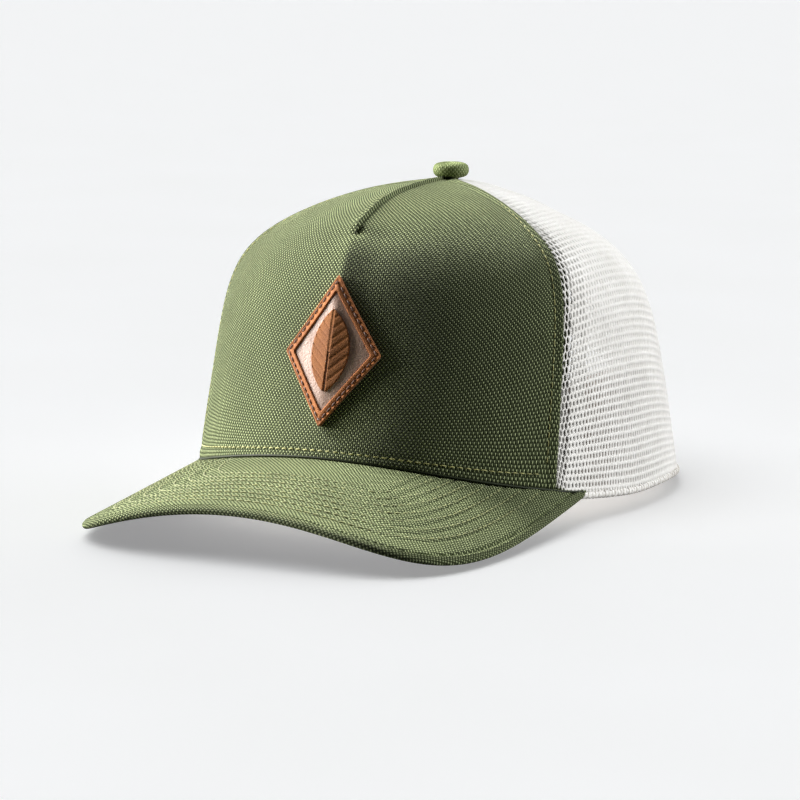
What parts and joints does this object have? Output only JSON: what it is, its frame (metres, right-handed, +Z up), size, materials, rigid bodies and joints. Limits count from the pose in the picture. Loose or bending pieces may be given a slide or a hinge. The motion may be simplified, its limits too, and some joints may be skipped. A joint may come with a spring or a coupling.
{
  "type": "trucker mesh cap",
  "caption": "Trucker cap with a woven front panel, open mesh sides and back, a curved visor, a leather patch and a rear snap closure over an arched opening.",
  "frame": {"origin": "on the table, under the middle of the cap's bounding box", "axes": "+Z up, -Y is the way the visor points, +X is the wearer's left"},
  "size_m": [0.1778, 0.2685, 0.1245],
  "materials": {
    "green_cloth": "coarse two-tone plain weave",
    "net": "open polyester net",
    "white_tape": "woven tape",
    "foam": "foam laminate",
    "sweatband_cloth": "brushed cotton twill",
    "label_cloth": "satin tape",
    "visor_board": "moulded sheet",
    "under_visor_cloth": "plain weave",
    "olive_thread": "twisted sewing thread",
    "brown_leather": "nubuck",
    "pale_leather": "smooth, slightly worn",
    "brown_thread": "twisted sewing thread",
    "button_metal": "stamped",
    "strap_plastic": "moulded, translucent edge"
  },
  "bodies": {
    "crown": {"front_panel": "green_cloth", "front_panel_foam": "foam", "side_mesh_left": "net", "side_mesh_right": "net", "back_mesh_left": "net", "back_mesh_right": "net", "hem_left": "white_tape", "hem_right": "white_tape", "rear_arch_binding": "white_tape", "front_seam_tape_left": "white_tape", "front_seam_tape_right": "white_tape", "rear_seam_tape_left": "white_tape", "rear_seam_tape_right": "white_tape", "back_seam_tape": "white_tape", "sweatband": "sweatband_cloth", "care_label": "label_cloth", "visor_board": "visor_board", "visor_top_cover": "green_cloth", "visor_under_cover": "under_visor_cloth", "visor_stitching": "olive_thread", "front_topstitching": "olive_thread", "patch_backing": "brown_leather", "patch_frame": "brown_leather", "patch_inlay": "pale_leather", "patch_stitching": "brown_thread", "patch_leaf": "brown_leather", "button_cover": "green_cloth", "button_core": "button_metal", "button_washer": "button_metal", "button_rivet": "button_metal", "hole_strap_tab": "strap_plastic", "peg_strap_tab": "strap_plastic"},
    "hole_strap": {"hole_strap": "strap_plastic"},
    "peg_strap": {"peg_strap": "strap_plastic", "snap_pegs": "strap_plastic"}
  },
  "joints": [
    {"name": "hole_strap_hinge", "type": "hinge", "parent": "crown", "child": "hole_strap", "pos_m": [0.04409, 0.11913, 0.00959], "axis": [0.0889, 0.1561, -0.9837], "range_deg": [0, 60], "stiffness_Nm_per_rad": 0.02},
    {"name": "peg_strap_hinge", "type": "hinge", "parent": "crown", "child": "peg_strap", "pos_m": [-0.04324, 0.11781, 0.0093], "axis": [-0.0888, 0.1561, -0.9837], "range_deg": [0, 25], "stiffness_Nm_per_rad": 0.02}
  ]
}
